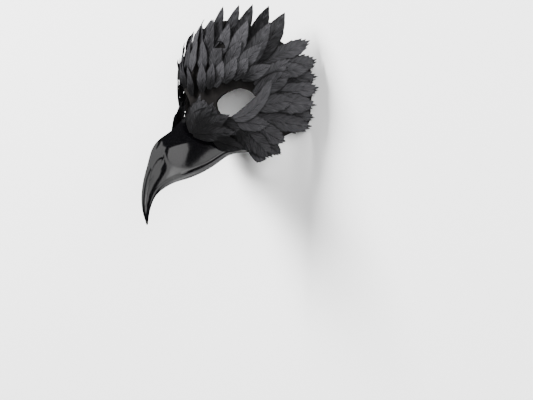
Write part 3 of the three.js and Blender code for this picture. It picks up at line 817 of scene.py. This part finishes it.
# The feathers round the eye: two at its outer corner and two sweeping back under it.
lay_row({"name": "eye_corner", "side": 0, "rank": 1, "blunt": 2.2, "feathers": [
    (45.4, 65.7, -6.9, 48, 20), (38, 84, 11, 48, 22)]})
lay_row({
    "name": "under_eye_upper", "side": 0, "rank": -1, "bend": -35, "curl": 0.3, "blunt": 5.5,
    "ragged": 0.25, "tone_and_shade": 0.08, "painted_root_shade": 0.05, "feathers": [(23.7, 92.0, 2.4, 51.3, 19.5)]})
lay_row({
    "name": "under_eye_lower", "side": 0, "rank": 0, "curl": 0.3, "blunt": 2.6,
    "tone_and_shade": 0.16, "painted_root_shade": -0.05, "feathers": [(22.1, 93.5, 20.4, 44.5, 21)]})

# The cheek feathers: small ones along the lower edge of the shell.
# The cheek feathers are toned darker as painted shade.
lay_row({
    "name": "cheek_outer", "side": 0, "rank": 2, "fused": True, "tone_and_shade": -0.18, "blunt": 2.3,
    "feathers": [(38, 106, 38, 40, 22), (43, 120, 38, 29, 13)]})
lay_row({
    "name": "cheek_inner", "side": 0, "rank": 0.6, "fused": True, "tone_and_shade": -0.08, "blunt": 2.3,
    "feathers": [(32.2, 111.5, 48, 41.5, 22), (36.5, 133.5, 12, 22, 11)]})

# The brow feathers: the front row, short and narrow, their roots just above the bare rim of
# the eye holes.
# The brow feathers are darkened hard towards their roots, painted shade fading into the rim.
lay_row({
    "name": "brow_left", "side": 1, "rank": -1, "fused": True, "ragged": 0.4, "tone_and_shade": -0.1,
    "painted_root_shade": 0.8, "feathers": [
        (18.5, 13.5, -13.2, 31.4, 15), (22.2, 27.3, -16.9, 27.9, 14),
        (25.3, 34.9, -16.1, 28.9, 15), (31.2, 42.2, -14.3, 30, 16),
        (37, 48.3, -14.4, 27, 16), (40.9, 53.1, 13.1, 34, 17)]})
lay_row({
    "name": "brow_right", "side": -1, "rank": -1, "fused": True, "ragged": 0.4, "tone_and_shade": -0.1,
    "painted_root_shade": 0.8, "feathers": [
        (16.6, 18.1, -3.9, 31.6, 15), (24, 32, -15, 29, 15), (30, 41, -18, 30, 15),
        (36, 47, -16, 26, 16), (42, 50, 18, 32, 17)]})

# The feathers round the root of the bill, glued one over the other: each runs from its root to
# its tip with a bowed middle and faces away from the point inside. The first two lie hidden under
# the rest and the last under the cheek's, to close the gaps between them.
NOSE_ROOT = (16, -36, 130.5)
NOSE_INSIDE = (-22, -30, 90)
CHEEK_INSIDE = (10, -20, 40)
# The nose feathers are toned dark as painted shade, and darkened further towards their roots.
NOSE_TONE_AND_SHADE, NOSE_PAINTED_ROOT_SHADE, NOSE_RAGGED = -0.42, 0.6, 0.7
NOSE_FEATHERS = [
    {"root": (15, -38, 126), "tip": (26, -6, 104), "inside": NOSE_INSIDE,
     "bow": 1, "width": 34, "ragged": 0.2},
    {"root": (10, -28, 122), "tip": (22, -5, 103), "inside": NOSE_INSIDE,
     "bow": 0, "width": 34, "ragged": 0.2},
    {"root": NOSE_ROOT, "tip": (9.3, 9, 111.7), "inside": NOSE_INSIDE, "bow": -1.5, "width": 10},
    {"root": NOSE_ROOT, "tip": (16.3, 2.3, 112), "inside": NOSE_INSIDE,
     "bow": 2, "width": 28, "blunt": 3.6, "right": (2, 24)},
    {"root": NOSE_ROOT, "tip": (25.7, -0.5, 107.3), "inside": NOSE_INSIDE, "bow": 0, "width": 13},
    {"root": NOSE_ROOT, "tip": (41.3, -14.4, 97.5), "inside": NOSE_INSIDE,
     "bow": 4, "width": 20, "right": (-1, 20)},
    {"root": NOSE_ROOT, "tip": (47.2, -33.9, 93.6), "inside": NOSE_INSIDE,
     "bow": 4, "width": 19, "blunt": 2.4, "right": (1, 19)},
    {"root": (32, -20, 102), "tip": (49.4, -37.3, 86.3), "inside": CHEEK_INSIDE,
     "bow": 3, "width": 19},
    {"root": (31.2, -42.4, 112.2), "tip": (49.4, -51.8, 82.4), "inside": CHEEK_INSIDE,
     "bow": 4, "width": 20},
    {"root": (47.7, -30, 90.1), "tip": (52.1, -56.4, 76.1), "inside": CHEEK_INSIDE,
     "bow": 3, "width": 14},
    {"root": (33, -24, 100), "tip": (45, -54, 79), "inside": CHEEK_INSIDE,
     "bow": 0.5, "width": 22, "ragged": 0.3},
]
for side in (1, -1):
    made = []
    for i, feather in enumerate(NOSE_FEATHERS):
        root, tip, inside = (np.array(feather[key], float) for key in ("root", "tip", "inside"))
        outward = unit(root - inside)
        bow, width = feather["bow"], feather["width"]
        if side < 0:
            bow, width = feather.get("right", (bow, width))
        middle = (root + tip) / 2 + outward * bow
        lateral = unit(np.cross(tip - root, outward))
        normal = unit(np.cross(lateral, tip - root))
        cut = trimmed(feather.get("ragged", NOSE_RAGGED), feather.get("blunt", TIP_POWER))
        u, across = (value[:, None] for value in cut)
        rise = sheet_height(across, SHEET - FUSED_STEP) + FUSED_STEP * (i % 2)
        points = root * (1 - u) ** 2 + middle * 2 * u * (1 - u) + tip * u ** 2
        points = points + lateral * across * width + normal * rise
        length = np.linalg.norm(tip - root)
        placed = (points * [side, 1, 1], across[:, 0] * width, u[:, 0] * length)
        made.append(make_feather(
            f"leaf_nose_{side}_{i}", placed, side, NOSE_TONE_AND_SHADE, NOSE_PAINTED_ROOT_SHADE))
    tag = "left" if side > 0 else "right"
    hand_in(join(made, f"leaves_nose_{tag}"), f"feathers_nose_{tag}")

# The corner leaves: one more leaf close beside the first feather at the outer corner of each eye,
# glued down with it, so that little of the shell is left bare there.
CORNER_LEAF = {"rank": 0.6, "blunt": 3.0, "ragged": 0.3, "feathers": [(42, 72, -2, 44, 22)]}
for side, tag in ((1, "left"), (-1, "right")):
    beside = bpy.data.objects[f"leaf_eye_corner_{tag}_1"]
    corner_leaf = make_feather(f"leaf_corner_{tag}", over_head(CORNER_LEAF, 0, side), side)
    join([beside, corner_leaf], beside.name)
bpy.data.objects.remove(leaf, do_unlink=True)

# The notch: a small half round cut through the feathers that overlap on the left forehead.
NOTCHED = ("forehead_left_2", "upper_left_2", "upper_left_3", "crown_left_1", "crown_left_2")
NOTCH_AT = (24.0, 59.7, 96.8)
NOTCH_HALF, NOTCH_HEIGHT, NOTCH_DEPTH, NOTCH_CORNERS = 7.0, 8.8, 11.0, 17
for name in NOTCHED:
    rim = []
    for angle in np.linspace(0, math.pi, NOTCH_CORNERS):
        out = right * math.cos(angle) * NOTCH_HALF + up * math.sin(angle) * NOTCH_HEIGHT
        rim.append(face(*NOTCH_AT) + (out - back * NOTCH_DEPTH) * MM)
    punch = prism(rim, back * 2 * NOTCH_DEPTH * MM, "notch_cutter")
    cut_away(bpy.data.objects[f"leaf_{name}"], punch)
    bpy.ops.object.shade_smooth_by_angle(angle=LEAF_CREASE)
